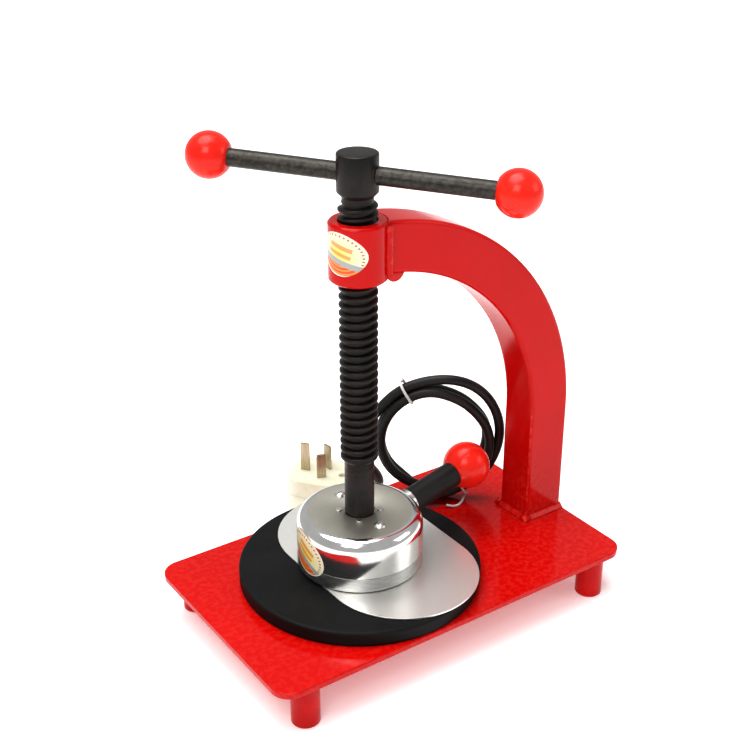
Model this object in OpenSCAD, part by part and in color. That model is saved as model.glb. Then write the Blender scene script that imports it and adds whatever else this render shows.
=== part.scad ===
// Screw press with a round electric heating head, for hot-patching tyres and inner tubes.
// Millimetres. +Z up, +X along the base from the heating head to the column, +Y to the rear.
// The origin is on the floor, under the middle of the base plate.

/* [Base] */
// Length of the base plate along X
base_length = 252; // [236:1:305]
// Width of the base plate along Y
base_width = 148; // [146:1:180]
// Thickness of the base plate
base_thickness = 3.5; // [2.5:0.5:8]
// Corner radius of the base plate
base_corner_r = 12; // [4:1:18]
// Diameter of the four round legs
foot_d = 16.5; // [12:0.5:20]
// Height of the four round legs
foot_height = 26.5; // [22:0.5:36]

/* [Frame arm] */
// Distance from the screw axis to the middle of the column
throat_reach = 137; // [128:1:165]
// Depth of the bent bar in the plane of the bend
arm_depth = 30; // [24:1:36]
// Width of the bent bar along Y
arm_width = 26; // [20:1:30]
// Height of the straight column above the base plate
column_height = 75; // [72:1:95]
// Outer diameter of the threaded boss
boss_d = 33; // [30:1:40]
// Length of the threaded boss
boss_length = 34; // [30:1:42]

/* [Rubber pad and sheet] */
// Diameter of the rubber pad
pad_d = 147; // [120:1:150]
// Thickness of the rubber pad
pad_thickness = 9.5; // [6:0.5:12]
// Width of the loose pressing sheet along X
sheet_width = 93; // [80:1:96]
// Length of the loose pressing sheet along Y
sheet_length = 146; // [120:1:150]
// Thickness of the loose pressing sheet
sheet_thickness = 1; // [0.6:0.1:2]

/* [Heating head] */
// Diameter of the heating head
head_d = 76; // [72:1:84]
// Thickness of the heated platen
platen_thickness = 9.5; // [8:0.5:14]
// Height of the chromed cover above the platen
cover_height = 24; // [24:0.5:30]
// Sheet thickness of the cover
cover_wall = 1; // [0.8:0.1:1.5]
// Diameter of the handle sleeve
handle_d = 16; // [14:0.5:18]
// Length of the handle sleeve
handle_length = 37; // [32:1:44]
// Diameter of the ball on the handle
handle_knob_d = 30; // [26:0.5:32]

/* [Screw] */
// Outer diameter of the trapezoidal thread
thread_d = 22; // [20:0.5:24]
// Thread pitch
thread_pitch = 5; // [4:0.5:6]
// Diameter of the plain shank under the thread
shank_d = 17.5; // [16:0.5:18]
// Diameter of the screw head
screw_head_d = 23; // [22:0.5:27]
// Height of the screw head
screw_head_h = 21; // [18:0.5:26]
// Diameter of the cross bar
bar_d = 10; // [8:0.5:11]
// Distance between the centres of the two bar balls
bar_span = 168; // [140:1:200]
// Diameter of the two bar balls
bar_knob_d = 26; // [22:0.5:30]

/* [Mains lead] */
// Diameter of the mains lead
cord_d = 6.4; // [5.5:0.1:7]
// Outer diameter of the tied coil
coil_d = 90; // [84:1:96]

/* [Hidden] */
$fn = 96;
gap = 0.3;
eps = 0.01;

// Heights and places that follow from the sizes above
base_top = foot_height + base_thickness;
column_x = base_length / 2 - arm_depth / 2;
screw_x = column_x - throat_reach;
bend_z = base_top + column_height;
arm_top = bend_z + throat_reach + arm_depth / 2;
boss_top = arm_top - 0.5;
boss_bottom = boss_top - boss_length;
pad_top = base_top + pad_thickness;
sheet_bottom = pad_top + gap;
sheet_top = sheet_bottom + sheet_thickness;
sheet_x = screw_x + 12;
head_bottom = sheet_top + gap;
platen_top = head_bottom + platen_thickness;
cover_top = platen_top + cover_height;
head_r = head_d / 2;
cover_inner_r = head_r - cover_wall;
cover_flat_r = head_r - 6.5;
shoulder_drop = 8.5;

// Legs
foot_inset_x = 20;
foot_inset_y = 10;
foot_x = base_length / 2 - foot_inset_x;
foot_y = base_width / 2 - foot_inset_y;
foot_edge = 0.8;

// Arm and welds
arm_edge_r = 2.2;
column_bead = 3;
boss_bead_r = 2.5;
under_bead_r = 6;
boss_edge = 1.2;
running_clearance = 0.08;
boss_bore_d = thread_d + 2 * running_clearance;

// Screw, measured up from the bottom of the heating head
neck_d = thread_d - 4.6;
core_d = thread_d - 5.2;
screw_head_z = boss_top + 16;
screw_top = screw_head_z + screw_head_h;
screw_edge = 1.2;
head_taper = (screw_head_d - neck_d) / 2;
collar_start = head_bottom + 68;
collar_edge = 2.5;
thread_start = collar_start + collar_edge + 0.5;
thread_end = boss_top + 11;
crest = thread_pitch * 0.3;
flank = thread_pitch * 0.17;
turns = floor((thread_end - thread_start) / thread_pitch);
hole_clear = 1.7;
bar_angle = -48.5;
bar_tilt = 3;
bar_shift = 1.4;
bar_z = screw_head_z + 9.5;
knob_grip = 8;

// Inside of the heating head, from the platen up
spigot_h = 2;
spigot_r = cover_inner_r - gap;
mica_t = 0.5;
element_t = 1.5;
element_hole_r = 9;
plate_t = 3;
stack_r = cover_inner_r - 5;
mica_bottom = platen_top + spigot_h;
element_bottom = mica_bottom + mica_t;
mica_upper = element_bottom + element_t;
plate_bottom = mica_upper + mica_t;
plate_top = plate_bottom + plate_t;
seat_h = 4;
seat_r = 11;
seat_top = plate_top + seat_h;
washer_t = 1.6;
washer_r = 8.2;
washer_gap = 0.05;
seat_recess = 2;
seat_bore = shank_d / 2 + 0.4;
tip_z = seat_top - seat_recess + washer_t + 2 * washer_gap;
button_r = shank_d / 2;
groove_r = 6.4;
retainer_t = 3;
groove_h = retainer_t + 2 * gap;
groove_z = cover_top - cover_wall - retainer_t - gap;
retainer_r = 15;
retainer_slit = 0.6;
retainer_top = cover_top - cover_wall;
cover_hole_r = shank_d / 2 + 0.5;
rivet_ring = 12.3;
rivet_r = 1.2;
rivet_angle = -35;
rivet_head_r = 1.9;
rivet_head_h = 0.8;
cover_screw_ring = 21;
cover_screw_r = 2;
cover_screw_head_r = 3.6;
cover_screw_head_h = 2;
cover_screw_dome_r = 4.6;
cover_screw_depth = 4;
slot_w = 1;
slot_depth = 0.8;
spacer_r = 4;

// Thermostat, terminals and wires
stat_angle = 200;
stat_ring = 22;
stat_r = 7.5;
stat_h = 6;
tab_t = 0.8;
tab_w = 4;
tab_h = 4;
tab_offset = 4;
block_angle = -35;
block_ring = 22;
block_w = 18;
block_d = 10;
block_h = 9;
block_pitch = 6;
terminal_r = 1.6;
terminal_depth = 4;
wire_d = 2.2;
wire_rise = 3.6;
wire_seat = 0.25;
core_step = 2.4;
earth_angle = 150;
earth_ring = 27;
earth_head_h = 1.8;
earth_head_r = 3;
tail_r = 1.2;
tail_h = 5;
tail_ring = 29.4;
tail_spread = 10;
tail_hole_r = 2;

// Handle
handle_angle = 7;
handle_rise = 8;
handle_z = platen_top + 12.5;
washer_step = 3;
stud_d = 6;
stud_in_knob = 14;
stud_inside = 9;
nut_r = 5.6;
nut_h = 4.6;
nut_back = 6.4;
washer_rim = 0.6;
knob_seat_r = 7;
washer_sink = 4;

// Cord entry at the rear of the head
relief_angle = 28;
relief_drop = 20;
relief_z = platen_top + 6.2;
relief_inside = 3;
core_back = relief_inside + 0.3;
relief_len = 24;
relief_root_r = 5.2;
relief_neck_r = 4;
relief_tip_r = 4.3;

// Labels
label_w = 34;
label_h = 24;
label_t = 0.2;
label_points = 36;
boss_label_angle = -162;
boss_label_turn = -15;
boss_label_z = 2;
head_label_angle = 178;
head_label_turn = -25;
head_label_z = 7.5;

// Mains lead: the tied coil stands on the plate between the handle and the column
cord_r = cord_d / 2;
coil_r = coil_d / 2;
coil_x = screw_x + 88;
coil_y = 42.5;
coil_yaw = -33;
coil_half = 6.2;
coil_back = 2;
coil_band = 12.6;
coil_edge = 3;
coil_mid_r = coil_r - coil_band / 2;
outer_turn_r = coil_mid_r + 3;
tie_t = 0.8;
tie_w = 1.8;
tie_slack = 0.05;
coil_z = base_top + coil_r + tie_t + 2 * tie_slack;
tie_angles = [118, 298];

// Plug lying on the floor behind the plate, pins up
plug_x = screw_x + 48.8;
plug_y = base_width / 2 + 48.6;
plug_yaw = -52;
plug_len = 45;
plug_w = 36;
plug_shift = 2;
plug_corner_r = 11;
plug_back_h = 13.5;
plug_face_h = 12;
pin_w = 6.3;
pin_t = 1.6;
pin_live_len = 18;
pin_earth_len = 21;
pin_ring_live = 7.92;
pin_ring_earth = 10.31;
pin_buried = 6;
plug_screw_at = 17;
plug_screw_r = 2.6;
plug_screw_h = 3.5;
plug_screw_depth = 5;
plug_exit = plug_shift + plug_len / 2;
plug_floor = 0.2;

// Point on the coil at an angle, a radius, and in front of or behind its plane
function on_coil(a, r, off = 0) = [
  coil_x + r * cos(a) * cos(coil_yaw) + off * sin(coil_yaw),
  coil_y + r * cos(a) * sin(coil_yaw) - off * cos(coil_yaw),
  coil_z + r * sin(a)];

// Direction in which the coil runs at an angle
function along_coil(a) = [-sin(a) * cos(coil_yaw), -sin(a) * sin(coil_yaw), cos(a)];

// Tip of the strain relief and the way it points
relief_out = [cos(relief_angle) * cos(relief_drop), sin(relief_angle) * cos(relief_drop),
  -sin(relief_drop)];
relief_tip = [screw_x + head_r * cos(relief_angle), head_r * sin(relief_angle), relief_z]
  + (relief_len + gap) * relief_out;
plug_out = [cos(plug_yaw), sin(plug_yaw), 0];
plug_grip = 2;
plug_mouth = [plug_x, plug_y, plug_floor + plug_back_h] + (plug_exit - plug_grip) * plug_out;

// Routes of the two free lengths of the lead: guide points of a smooth curve
head_join = 320;
plug_join = 140;
lead_end = 8;
lead_step = 3;
head_route = [
  relief_tip,
  relief_tip + lead_step * relief_out,
  relief_tip + lead_end * relief_out,
  [screw_x + 69, 35, base_top + 12],
  [screw_x + 78, 37, base_top + 8],
  [screw_x + 89, 36, base_top + 6],
  [screw_x + 101, 32, base_top + 9],
  on_coil(head_join, coil_mid_r, 1) - lead_end * along_coil(head_join),
  on_coil(head_join, coil_mid_r, 1) - lead_step * along_coil(head_join),
  on_coil(head_join, coil_mid_r, 1)];
plug_route = [
  plug_mouth,
  plug_mouth + lead_step * plug_out,
  plug_mouth + lead_end * plug_out,
  [screw_x + 75, base_width / 2 + 15, 17.5],
  [screw_x + 76, base_width / 2 + 10.5, 28],
  [screw_x + 68, base_width / 2 + 9, 39],
  [screw_x + 58, base_width / 2 + 7, 52],
  [screw_x + 52, base_width / 2 + 2, 67],
  [screw_x + 51, base_width / 2 - 4, 84],
  on_coil(plug_join, outer_turn_r, -1.5) + lead_end * along_coil(plug_join),
  on_coil(plug_join, outer_turn_r, -1.5) + lead_step * along_coil(plug_join),
  on_coil(plug_join, outer_turn_r, -1.5)];

// ---------- helpers ----------

// Rectangle with round corners, centred
module round_rect(l, w, r) {
  square([l - 2 * r, w], center = true);
  square([l, w - 2 * r], center = true);
  for (sx = [-1, 1], sy = [-1, 1])
    translate([sx * (l / 2 - r), sy * (w / 2 - r)])
      circle(r = r, $fn = 48);
}

// Move children to the screw axis
module at_axis(z = 0) {
  translate([screw_x, 0, z])
    children();
}

// Move children out from the screw axis at an angle, X pointing outward
module out_from_axis(a, r, z) {
  at_axis(z)
    rotate([0, 0, a])
      translate([r, 0, 0])
        children();
}

// Ring with a plain bore
module ring(ro, ri, h) {
  difference() {
    cylinder(r = ro, h = h);
    translate([0, 0, -eps])
      cylinder(r = ri, h = h + 2 * eps);
  }
}

// Oval outline for the labels
function oval(w, h, n) = [for (i = [0 : n - 1]) [w / 2 * cos(i * 360 / n), h / 2 * sin(i * 360 / n)]];

// Oval label wrapped on an upright cylinder of radius r; X of the children points outward
module wrapped_label(r, turn) {
  flat_w = 2 * r * sin(label_w / r * 90 / PI);
  intersection() {
    translate([0, 0, -label_w])
      ring(r + label_t, r, 2 * label_w);
    rotate([0, 90, 0])
      rotate([0, 0, 90 + turn])
        linear_extrude(height = r + 2)
          polygon(oval(flat_w, label_h, label_points));
  }
}

// Unit vector of a
function unit(a) = a / norm(a);

// Smooth route through the points p: k steps between neighbours
function spline_at(a, b, c, d, t) =
  0.5 * ((2 * b) + (c - a) * t + (2 * a - 5 * b + 4 * c - d) * t * t
  + (3 * b - a - 3 * c + d) * t * t * t);
function route(p, k) = concat(
  [for (i = [0 : len(p) - 2], j = [0 : k - 1])
    spline_at(p[max(i - 1, 0)], p[i], p[i + 1], p[min(i + 2, len(p) - 1)], j / k)],
  [p[len(p) - 1]]);

// Softer route guided by the points c, which it leaves and meets at its two ends
function guided_at(a, b, c, d, t) = (pow(1 - t, 3) * a + (3 * t * t * t - 6 * t * t + 4) * b
  + (3 * t * t + 3 * t + 1 - 3 * t * t * t) * c + t * t * t * d) / 6;
function guided(c, k) = let (e = concat([2 * c[0] - c[1]], c,
  [2 * c[len(c) - 1] - c[len(c) - 2]]))
  concat(
    [for (i = [0 : len(e) - 4], j = [0 : k - 1])
      guided_at(e[i], e[i + 1], e[i + 2], e[i + 3], j / k)],
    [c[len(c) - 1]]);

// Direction of the route at point i
function heading(q, i) = unit(q[min(i + 1, len(q) - 1)] - q[max(i - 1, 0)]);

// Side vectors carried along the route without twisting
function carried(q, i, u) = i == 0 ? [u] : let (s = carried(q, i - 1, u), t = heading(q, i),
  v = s[len(s) - 1]) concat(s, [unit(v - (v * t) * t)]);

// Closed round tube swept along the route q
module tube(q, r, sides = 10) {
  n = len(q);
  t0 = heading(q, 0);
  start = abs(t0[2]) < 0.9 ? [0, 0, 1] : [1, 0, 0];
  side = carried(q, n - 1, unit(start - (start * t0) * t0));
  pts = [for (i = [0 : n - 1], k = [0 : sides - 1])
    let (t = heading(q, i), u = side[i], v = cross(t, u), a = k * 360 / sides)
      q[i] + r * (cos(a) * u + sin(a) * v)];
  walls = [for (i = [0 : n - 2], k = [0 : sides - 1])
    let (a = i * sides + k, b = i * sides + (k + 1) % sides)
      each [[a, b, b + sides], [a, b + sides, a + sides]]];
  first = [for (k = [sides - 1 : -1 : 0]) k];
  last = [for (k = [0 : sides - 1]) (n - 1) * sides + k];
  polyhedron(points = pts, faces = concat(walls, [first], [last]));
}

// ---------- base and frame ----------

module base_plate() {
  color("#c8140c")
    translate([0, 0, foot_height])
      linear_extrude(height = base_thickness)
        round_rect(base_length, base_width, base_corner_r);
}

module feet() {
  color("#a81818")
    for (sx = [-1, 1], sy = [-1, 1])
      translate([sx * foot_x, sy * foot_y, 0]) {
        translate([0, 0, foot_edge])
          cylinder(d = foot_d, h = foot_height - foot_edge);
        cylinder(r1 = foot_d / 2 - foot_edge, r2 = foot_d / 2, h = foot_edge);
      }
}

module frame_arm() {
  color("#c8140c")
    difference() {
      union() {
        translate([column_x, 0, base_top])
          linear_extrude(height = column_height)
            round_rect(arm_depth, arm_width, arm_edge_r);
        translate([screw_x, 0, bend_z])
          rotate([90, 0, 0])
            rotate_extrude(angle = 90, $fn = 180)
              translate([throat_reach, 0])
                round_rect(arm_depth, arm_width, arm_edge_r);
      }
      at_axis(boss_bottom - 10)
        cylinder(d = boss_d, h = boss_length + 30);
    }
}

module threaded_boss() {
  color("#c8140c")
    at_axis()
      rotate_extrude()
        polygon([
          [boss_bore_d / 2, boss_bottom],
          [boss_d / 2 - boss_edge, boss_bottom],
          [boss_d / 2, boss_bottom + boss_edge],
          [boss_d / 2, boss_top - boss_edge],
          [boss_d / 2 - boss_edge, boss_top],
          [boss_bore_d / 2, boss_top]
        ]);
}

// Weld bead along +X, its legs on +Y and +Z
module bead(length, leg) {
  rotate([90, 0, 90])
    linear_extrude(height = length)
      polygon([[-arm_edge_r, 0], [leg, 0], [0, leg], [-arm_edge_r, leg]]);
}

// Fillet weld round three sides of the column foot
module column_weld() {
  inner_x = column_x - arm_depth / 2;
  color("#b01410")
    difference() {
      union() {
        for (s = [0, 1])
          mirror([0, s, 0])
            translate([inner_x - column_bead, arm_width / 2, base_top])
              bead(arm_depth + column_bead, column_bead);
        translate([inner_x, -arm_width / 2 - column_bead, base_top])
          rotate([0, 0, 90])
            bead(arm_width + 2 * column_bead, column_bead);
      }
      translate([column_x, 0, base_top - 1])
        linear_extrude(height = column_bead + 2)
          round_rect(arm_depth, arm_width, arm_edge_r);
    }
}

// Welds that join the arm to the boss: one down each side and one under the arm
module boss_weld() {
  joint = sqrt(pow(boss_d / 2, 2) - pow(arm_width / 2, 2));
  low = arm_top - arm_depth;
  color("#b01410")
    difference() {
      union() {
        for (s = [-1, 1])
          translate([screw_x + joint + 1, s * arm_width / 2, low])
            cylinder(r = boss_bead_r, h = arm_depth - arm_edge_r, $fn = 48);
        translate([screw_x + boss_d / 2, -arm_width / 2 + 1, low])
          rotate([-90, 0, 0])
            cylinder(r = under_bead_r, h = arm_width - 2, $fn = 48);
      }
      at_axis(boss_bottom - 10)
        cylinder(d = boss_d, h = boss_length + 20);
      translate([screw_x, 0, bend_z])
        rotate([90, 0, 0])
          rotate_extrude(angle = 90, $fn = 180)
            translate([throat_reach, 0])
              round_rect(arm_depth, arm_width, arm_edge_r);
    }
}

module rubber_pad() {
  edge = 0.8;
  color("#1a1a1a")
    at_axis()
      rotate_extrude()
        polygon([
          [0, base_top],
          [pad_d / 2, base_top],
          [pad_d / 2, pad_top - edge],
          [pad_d / 2 - edge, pad_top],
          [0, pad_top]
        ]);
}

module boss_label() {
  color("#e8d98a")
    at_axis((boss_top + boss_bottom) / 2 + boss_label_z)
      rotate([0, 0, boss_label_angle])
        wrapped_label(boss_d / 2, boss_label_turn);
}

// Thin plate with round ends that lies on the pad under the head
module press_sheet() {
  end = (sheet_length - sheet_width) / 2;
  color("#b9b7ac")
    translate([sheet_x, 0, sheet_bottom])
      linear_extrude(height = sheet_thickness) {
        square([sheet_width, 2 * end], center = true);
        for (s = [-1, 1])
          translate([0, s * end])
            circle(d = sheet_width);
      }
}

// ---------- screw ----------

// Outline of the thread: parallel ridges at the true pitch
function ridge(z) = [
  [core_d / 2, z],
  [thread_d / 2, z + flank],
  [thread_d / 2, z + flank + crest],
  [core_d / 2, z + 2 * flank + crest]];

// Screw forged in one piece: head with a cross hole, thread, collar, shank, groove and thrust button
module lead_screw() {
  color("#26221f")
    difference() {
      at_axis()
        rotate_extrude()
          polygon(concat(
            [[0, tip_z], [button_r - screw_edge, tip_z], [button_r, tip_z + screw_edge],
              [button_r, groove_z], [groove_r, groove_z],
              [groove_r, groove_z + groove_h], [shank_d / 2, groove_z + groove_h],
              [shank_d / 2, collar_start], [thread_d / 2, collar_start + collar_edge],
              [thread_d / 2, thread_start - eps]],
            [for (i = [0 : turns - 1]) each ridge(thread_start + i * thread_pitch)],
            [[core_d / 2, thread_start + turns * thread_pitch],
              [neck_d / 2, thread_start + turns * thread_pitch + eps],
              [neck_d / 2, screw_head_z - head_taper],
              [screw_head_d / 2, screw_head_z],
              [screw_head_d / 2, screw_top - screw_edge],
              [screw_head_d / 2 - screw_edge, screw_top],
              [0, screw_top]]));
      at_axis(bar_z)
        rotate([0, 0, bar_angle])
          rotate([0, 90, 0])
            cylinder(d = bar_d + hole_clear, h = 2 * screw_head_d, center = true);
    }
}

// Put children at a distance along the cross bar, their Z pointing along the bar
module along_bar(d) {
  at_axis(bar_z)
    rotate([0, 0, bar_angle])
      rotate([0, 90 + bar_tilt, 0])
        translate([0, 0, bar_shift + d])
          children();
}

bar_reach = bar_span / 2 - bar_knob_d / 2 + knob_grip;

module cross_bar() {
  color("#2a2725")
    along_bar(-bar_reach)
      cylinder(d = bar_d, h = 2 * bar_reach);
}

// Ball with a flat of radius seat_r towards -Z and a blind hole of radius hole_r
module ball_knob(d, seat_r, hole_r, hole_depth) {
  seat_z = sqrt(pow(d / 2, 2) - pow(seat_r, 2));
  difference() {
    sphere(d = d);
    translate([0, 0, -seat_z - d])
      cylinder(d = d, h = d);
    translate([0, 0, -d / 2 - eps])
      cylinder(r = hole_r, h = hole_depth + eps);
  }
}

module bar_knobs() {
  color("#e01a10")
    for (s = [0, 1])
      along_bar(s == 0 ? bar_span / 2 : -bar_span / 2)
        rotate([180 * s, 0, 0])
          ball_knob(bar_knob_d, bar_d / 2 + 1.5, bar_d / 2, knob_grip);
}

module thrust_washer() {
  color("#8c8c88")
    at_axis(seat_top - seat_recess + washer_gap)
      cylinder(r = washer_r, h = washer_t);
}

// ---------- heating head ----------

// Half outline of the cover: outer wall and rounded shoulder, inset by t
function cover_outline(t) = concat(
  [[head_r - t, platen_top]],
  [for (a = [0 : 15 : 90]) [
    cover_flat_r + (head_r - t - cover_flat_r) * cos(a),
    cover_top - shoulder_drop + (shoulder_drop - t) * sin(a)]]);

// Solid of revolution under the outside of the cover
module cover_block() {
  at_axis()
    rotate_extrude()
      polygon(concat([[0, platen_top - 5], [head_r, platen_top - 5]], cover_outline(0), [[0, cover_top]]));
}

// Children on the handle axis, Z pointing out from the cover wall
module on_handle(d) {
  out_from_axis(handle_angle, head_r, handle_z)
    rotate([0, 90 - handle_rise, 0])
      translate([0, 0, d])
        children();
}

// Children on the strain relief axis, Z pointing out from the cover wall
module on_relief(d) {
  out_from_axis(relief_angle, head_r, relief_z)
    rotate([0, 90 + relief_drop, 0])
      translate([0, 0, d])
        children();
}

// Shafts of the two cover screws
module cover_screw_shafts(r, z0, z1) {
  for (s = [90, -90])
    out_from_axis(s, cover_screw_ring, z0)
      cylinder(r = r, h = z1 - z0, $fn = 36);
}

// Shafts of the four retainer rivets
module rivet_shafts(r, z0, z1) {
  for (k = [0 : 3])
    out_from_axis(rivet_angle + 90 * k, rivet_ring, z0)
      cylinder(r = r, h = z1 - z0, $fn = 24);
}

module head_cover() {
  color("#c9cbcc")
    difference() {
      at_axis()
        rotate_extrude()
          polygon(concat(
            cover_outline(0), [[cover_hole_r, cover_top], [cover_hole_r, cover_top - cover_wall]],
            [for (i = [len(cover_outline(0)) - 1 : -1 : 0]) cover_outline(cover_wall)[i]]));
      cover_screw_shafts(cover_screw_r, cover_top - 5, cover_top + 1);
      rivet_shafts(rivet_r, cover_top - 5, cover_top + 1);
      on_handle(-6)
        cylinder(d = stud_d, h = 12, $fn = 48);
      on_relief(-8)
        cylinder(r = relief_neck_r, h = 12, $fn = 48);
    }
}

module platen() {
  edge = 0.8;
  color("#bdb8ad")
    difference() {
      at_axis()
        rotate_extrude()
          polygon([
            [0, head_bottom],
            [head_r - edge, head_bottom],
            [head_r, head_bottom + edge],
            [head_r, platen_top],
            [spigot_r, platen_top],
            [spigot_r, mica_bottom],
            [0, mica_bottom]
          ]);
      cover_screw_shafts(cover_screw_r, platen_top - cover_screw_depth, mica_bottom + 1);
    }
}

// Flat disc of the heater stack with clearance holes for the cover screws
module stack_disc(z, t, inner_r, tail_holes) {
  difference() {
    at_axis(z)
      cylinder(r = stack_r, h = t);
    if (inner_r > 0)
      at_axis(z - 1)
        cylinder(r = inner_r, h = t + 2);
    cover_screw_shafts(cover_screw_r + 0.3, z - 1, z + t + 1);
    if (tail_holes)
      element_tails(tail_hole_r, z - 1, z + t + 1);
  }
}

// Two tail pins of the heating element beside the terminal block
module element_tails(r, z0, z1) {
  for (s = [-1, 1])
    out_from_axis(block_angle + s * tail_spread, tail_ring, z0)
      cylinder(r = r, h = z1 - z0, $fn = 24);
}

module lower_mica() {
  color("#c9a55c")
    stack_disc(mica_bottom, mica_t, 0, false);
}

module heating_element() {
  color("#7d5a3c") {
    stack_disc(element_bottom, element_t, element_hole_r, false);
    element_tails(tail_r, element_bottom + element_t - eps, plate_top + tail_h);
  }
}

module upper_mica() {
  color("#c9a55c")
    stack_disc(mica_upper, mica_t, 0, true);
}

module pressure_plate() {
  color("#8a8a86")
    stack_disc(plate_bottom, plate_t, 0, true);
}

// Hardened cup that takes the thrust of the screw
module thrust_seat() {
  color("#77777a")
    difference() {
      at_axis(plate_top)
        cylinder(r = seat_r, h = seat_h);
      at_axis(seat_top - seat_recess)
        cylinder(r = seat_bore, h = seat_recess + 1);
    }
}

// Two half rings that sit in the screw groove and hang the head on the screw
module swivel_retainer() {
  color("#6f6f6f")
    difference() {
      at_axis(retainer_top - retainer_t)
        ring(retainer_r, groove_r + gap, retainer_t);
      out_from_axis(rivet_angle + 135, -retainer_r - 1, retainer_top - retainer_t - 1)
        translate([0, -retainer_slit / 2, 0])
          cube([2 * retainer_r + 2, retainer_slit, retainer_t + 2]);
      rivet_shafts(rivet_r, retainer_top - retainer_t - 1, retainer_top + 1);
    }
}

module retainer_rivets() {
  color("#9a9a98")
    for (k = [0 : 3])
      out_from_axis(rivet_angle + 90 * k, rivet_ring, retainer_top - retainer_t) {
        cylinder(r = rivet_r, h = retainer_t + cover_wall + eps, $fn = 24);
        translate([0, 0, retainer_t + cover_wall])
          cylinder(r = rivet_head_r, h = rivet_head_h, $fn = 24);
      }
}

module cover_screws() {
  color("#d8d8d6")
    for (s = [90, -90])
      out_from_axis(s, cover_screw_ring, platen_top - cover_screw_depth) {
        cylinder(r = cover_screw_r, h = cover_height + cover_screw_depth + eps, $fn = 36);
        translate([0, 0, cover_height + cover_screw_depth])
          difference() {
            intersection() {
              cylinder(r = cover_screw_head_r, h = cover_screw_head_h);
              translate([0, 0, cover_screw_head_h - cover_screw_dome_r])
                sphere(r = cover_screw_dome_r);
            }
            translate([-slot_w / 2, -cover_screw_head_r, cover_screw_head_h - slot_depth])
              cube([slot_w, 2 * cover_screw_head_r, 2]);
          }
      }
}

module cover_spacers() {
  color("#a8a8a4")
    for (s = [90, -90])
      out_from_axis(s, cover_screw_ring, plate_top)
        ring(spacer_r, cover_screw_r + 0.2, cover_top - cover_wall - plate_top);
}

// Bimetal thermostat on the pressure plate
module thermostat() {
  color("#3b3330")
    out_from_axis(stat_angle, stat_ring, plate_top) {
      cylinder(r = stat_r, h = stat_h);
      for (s = [-1, 1])
        translate([-tab_t / 2, s * tab_offset - tab_w / 2, stat_h - eps])
          cube([tab_t, tab_w, tab_h]);
    }
}

module terminal_block() {
  color("#e6dfd0")
    out_from_axis(block_angle, block_ring, plate_top)
      difference() {
        translate([-block_d / 2, -block_w / 2, 0])
          cube([block_d, block_w, block_h]);
        for (k = [-1 : 1])
          translate([0, k * block_pitch, block_h - terminal_depth])
            cylinder(r = terminal_r, h = terminal_depth + 1, $fn = 36);
      }
}

module terminal_screws() {
  color("#c8a850")
    out_from_axis(block_angle, block_ring, plate_top + block_h - terminal_depth)
      for (k = [-1 : 1])
        translate([0, k * block_pitch, 0])
          cylinder(r = terminal_r, h = terminal_depth - 1, $fn = 36);
}

// Point inside the head at an angle, radius and height above the pressure plate
function inside(a, r, h) = [screw_x + r * cos(a), r * sin(a), plate_top + h];

// Where a core leaves the strain relief, shifted sideways by s
function core_exit(s) = [
  screw_x + (head_r - core_back) * cos(relief_angle) - s * sin(relief_angle),
  (head_r - core_back) * sin(relief_angle) + s * cos(relief_angle),
  relief_z + core_back * sin(relief_drop)];

// Point over a terminal of the block, d above its screw
function terminal(k, d) = inside(block_angle + atan(k * block_pitch / block_ring),
  sqrt(pow(block_ring, 2) + pow(k * block_pitch, 2)), block_h - 1 + d);

module live_wire() {
  color("#7a4a22")
    tube(route([core_exit(-core_step), inside(16, 27, 6.5), inside(2, 24.5, 9.5),
      inside(-10, 23.5, 12), terminal(1, wire_rise), terminal(1, wire_seat)], 4), wire_d / 2, 8);
}

module neutral_wire() {
  color("#2a5fa8")
    tube(route([core_exit(0), inside(22, 25.5, 9), inside(4, 20.5, 12), inside(-12, 18.5, 12.5),
      inside(-25, 19.5, 12.8), terminal(0, wire_rise), terminal(0, wire_seat)], 4), wire_d / 2, 8);
}

module earth_wire() {
  color("#7a9a30")
    tube(route([core_exit(core_step), inside(42, 28.5, 5.5), inside(65, 29, 6),
      inside(90, 29.3, 6), inside(115, 29, 6), inside(138, 28, 6),
      inside(earth_angle, earth_ring, 5.2), inside(earth_angle, earth_ring, earth_head_h + wire_seat)], 4),
      wire_d / 2, 8);
}

// Lead from the block to the nearer tab of the thermostat
module thermostat_wire() {
  tab = stat_angle + atan(tab_offset / stat_ring);
  tab_r = sqrt(pow(stat_ring, 2) + pow(tab_offset, 2));
  color("#7a4a22")
    tube(route([terminal(-1, wire_seat), terminal(-1, wire_rise), inside(-66, 27, 12),
      inside(-90, 29.2, 10.5), inside(-115, 28, 11.5), inside(-140, 24, 13),
      inside(tab - 360, tab_r, 13), inside(tab - 360, tab_r, stat_h + tab_h + wire_seat)], 4),
      wire_d / 2, 8);
}

module earth_screw() {
  color("#c8a850")
    out_from_axis(earth_angle, earth_ring, plate_top)
      cylinder(r = earth_head_r, h = earth_head_h - eps, $fn = 6);
}

module handle_stud() {
  color("#8f8f8f")
    on_handle(-stud_inside)
      cylinder(d = stud_d, h = stud_inside + washer_step + handle_length + stud_in_knob, $fn = 48);
}

module handle_nut() {
  color("#a5a5a3")
    on_handle(-nut_back)
      difference() {
        cylinder(r = nut_r, h = nut_h, $fn = 6);
        translate([0, 0, -1])
          cylinder(d = stud_d, h = nut_h + 2, $fn = 48);
      }
}

// Saddle washer between the cover wall and the sleeve
module handle_washer() {
  color("#151515")
    difference() {
      on_handle(-washer_sink)
        ring(handle_d / 2 + washer_rim, stud_d / 2, washer_sink + washer_step);
      cover_block();
    }
}

module handle_sleeve() {
  color("#1c1c1c")
    on_handle(washer_step)
      ring(handle_d / 2, stud_d / 2, handle_length);
}

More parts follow.
